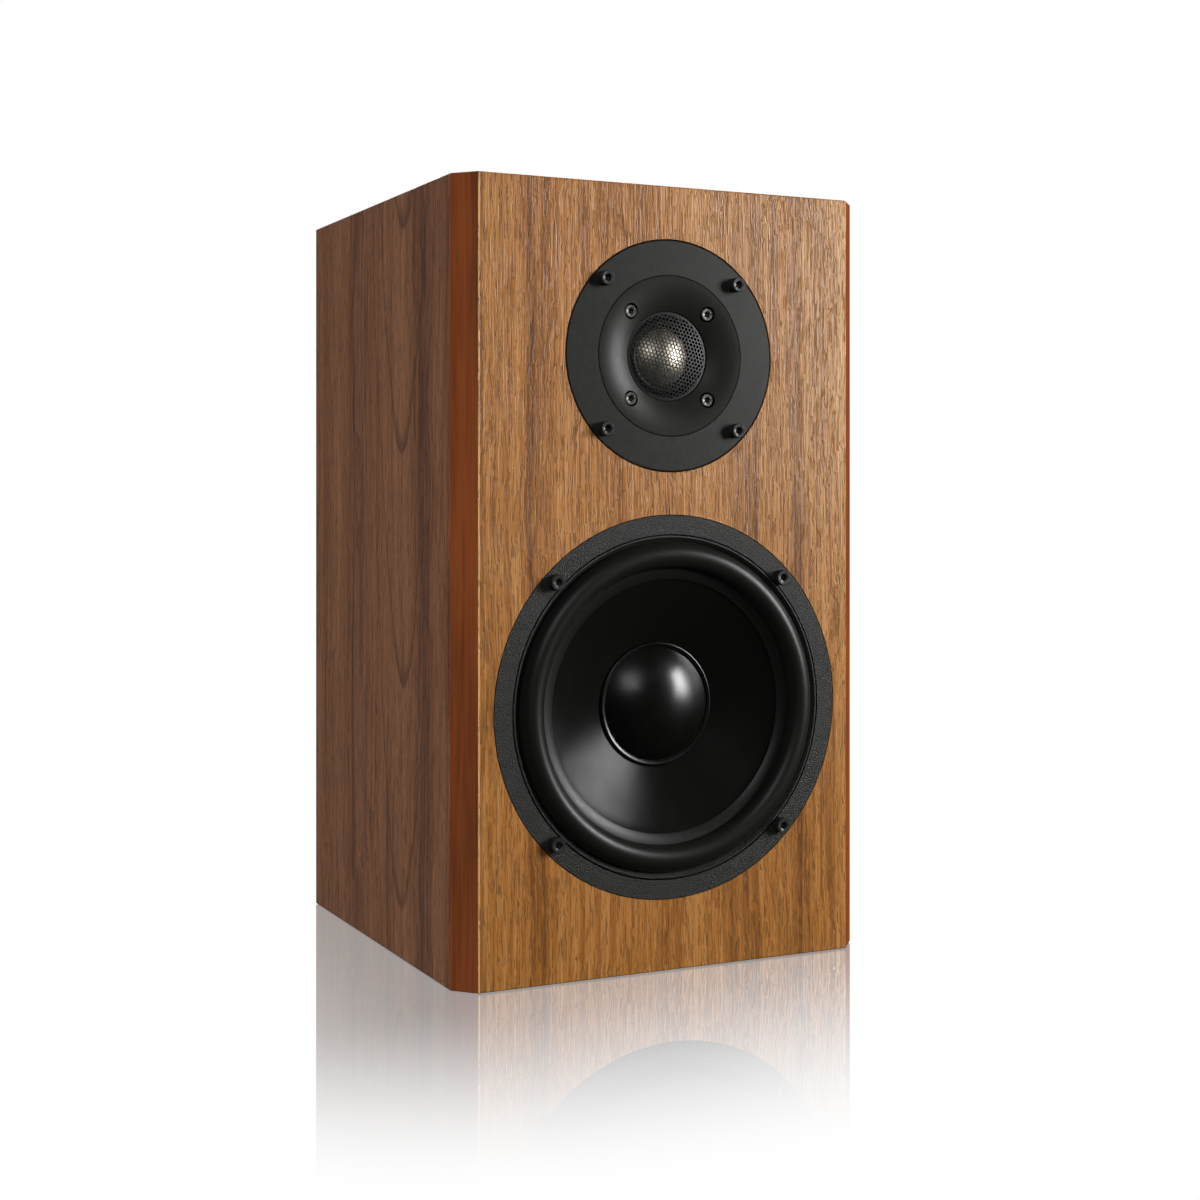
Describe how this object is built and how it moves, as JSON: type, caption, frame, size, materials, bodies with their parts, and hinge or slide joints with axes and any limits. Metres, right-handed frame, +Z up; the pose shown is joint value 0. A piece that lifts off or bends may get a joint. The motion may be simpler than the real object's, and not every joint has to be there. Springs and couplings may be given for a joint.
{
  "type": "bookshelf speaker",
  "caption": "Two-way bookshelf loudspeaker: veneered box with cut front corners, cone woofer, mesh-covered dome tweeter, rear port and binding posts.",
  "frame": {"origin": "middle of the cabinet's underside, where it stands", "axes": "+Z up along the cabinet's height, the front and both drivers face -Y, the terminals face +Y, +X is to the right seen from the front"},
  "size_m": [0.205, 0.2082, 0.352],
  "materials": {
    "front_veneer": "oiled open-pore veneer",
    "side_veneer": "oiled open-pore veneer, darker",
    "corner_timber": "oiled solid hardwood",
    "brace_board": "raw fibreboard",
    "damping_foam": "open-cell foam",
    "textured_metal": "fine textured black coat",
    "satin_metal": "satin black coat",
    "gasket_foam": "closed-cell foam",
    "surround_rubber": "semi-gloss rubber",
    "cone_polymer": "polished",
    "cap_polymer": "high gloss",
    "former_foil": "thin foil",
    "copper_wire": "enamelled copper",
    "spider_cloth": "treated cotton",
    "zinc_steel": "zinc plated",
    "ferrite": "ground ferrite",
    "black_screw": "black oxide",
    "dull_screw": "dull nickel",
    "mesh_steel": "black perforated sheet",
    "dome_metal": "pale gold anodised",
    "black_plastic": "moulded, matte",
    "red_plastic": "moulded",
    "knob_black": "moulded",
    "gilt_brass": "gold plated",
    "board_laminate": "glass laminate",
    "capacitor_film": "wrapped film",
    "resistor_cement": "cement filled",
    "lead_insulation": "flexible insulation",
    "tinsel": "woven tinsel wire"
  },
  "bodies": {
    "cabinet": {"front_baffle": "front_veneer", "corner_strip_left": "corner_timber", "corner_strip_right": "corner_timber", "side_panel_left": "side_veneer", "side_panel_right": "side_veneer", "top_panel": "side_veneer", "bottom_panel": "side_veneer", "back_panel": "side_veneer", "window_brace": "brace_board", "foam_lining": "damping_foam", "woofer_basket": "textured_metal", "woofer_basket_arms": "textured_metal", "woofer_basket_throat": "textured_metal", "woofer_trim_ring": "textured_metal", "woofer_gasket": "gasket_foam", "woofer_top_plate": "zinc_steel", "woofer_magnet": "ferrite", "woofer_yoke": "zinc_steel", "woofer_terminals": "gilt_brass", "woofer_tinsel_leads": "tinsel", "woofer_screws": "black_screw", "tweeter_faceplate": "satin_metal", "tweeter_waveguide": "satin_metal", "tweeter_gasket": "gasket_foam", "tweeter_mesh": "mesh_steel", "tweeter_front_plate": "zinc_steel", "tweeter_magnet": "ferrite", "tweeter_yoke": "zinc_steel", "tweeter_rear_chamber": "black_plastic", "tweeter_terminals": "gilt_brass", "tweeter_screws": "black_screw", "waveguide_screws": "dull_screw", "port_tube": "black_plastic", "port_flange": "black_plastic", "terminal_cup": "black_plastic", "terminal_cup_screws": "black_screw", "post_studs": "gilt_brass", "post_collars": "black_plastic", "post_nuts": "zinc_steel", "crossover_board": "board_laminate", "crossover_fixings": "black_plastic", "inductor_bobbins": "black_plastic", "inductor_windings": "copper_wire", "crossover_capacitors": "capacitor_film", "crossover_resistors": "resistor_cement", "cabinet_leads": "lead_insulation"},
    "woofer_cone_assembly": {"woofer_cone": "cone_polymer", "woofer_dust_cap": "cap_polymer", "woofer_coil_former": "former_foil", "woofer_voice_coil": "copper_wire", "woofer_surround": "surround_rubber", "woofer_spider": "spider_cloth"},
    "tweeter_diaphragm": {"tweeter_dome": "dome_metal", "tweeter_voice_coil": "copper_wire", "tweeter_surround": "surround_rubber"},
    "red_washer": {"clamp_washer_red": "gilt_brass"},
    "black_washer": {"clamp_washer_black": "gilt_brass"},
    "red_knob": {"post_knob_red": "red_plastic"},
    "black_knob": {"post_knob_black": "knob_black"}
  },
  "joints": [
    {"name": "woofer_stroke", "type": "slide", "parent": "cabinet", "child": "woofer_cone_assembly", "axis": [0, -1, 0], "range_m": [-0.005, 0.005], "stiffness_N_per_m": 900, "deforming": ["woofer_surround", "woofer_spider", "woofer_tinsel_leads"]},
    {"name": "tweeter_stroke", "type": "slide", "parent": "cabinet", "child": "tweeter_diaphragm", "axis": [0, -1, 0], "range_m": [-0.0004, 0.0004], "stiffness_N_per_m": 2000, "deforming": ["tweeter_surround"]},
    {"name": "red_washer_travel", "type": "slide", "parent": "cabinet", "child": "red_washer", "axis": [0, 1, 0], "range_m": [0, 0.006]},
    {"name": "red_knob_turn", "type": "hinge", "parent": "red_washer", "child": "red_knob", "pos_m": [-0.0095, 0.1, 0.088], "axis": [0, 1, 0], "range_deg": [0, 2160]},
    {"name": "black_washer_travel", "type": "slide", "parent": "cabinet", "child": "black_washer", "axis": [0, 1, 0], "range_m": [0, 0.006]},
    {"name": "black_knob_turn", "type": "hinge", "parent": "black_washer", "child": "black_knob", "pos_m": [0.0095, 0.1, 0.088], "axis": [0, 1, 0], "range_deg": [0, 2160]}
  ],
  "couplings": [
    {"joint": "red_knob_turn", "follows": "red_washer_travel", "rad_per_m": 6283.2},
    {"joint": "black_knob_turn", "follows": "black_washer_travel", "rad_per_m": 6283.2}
  ]
}
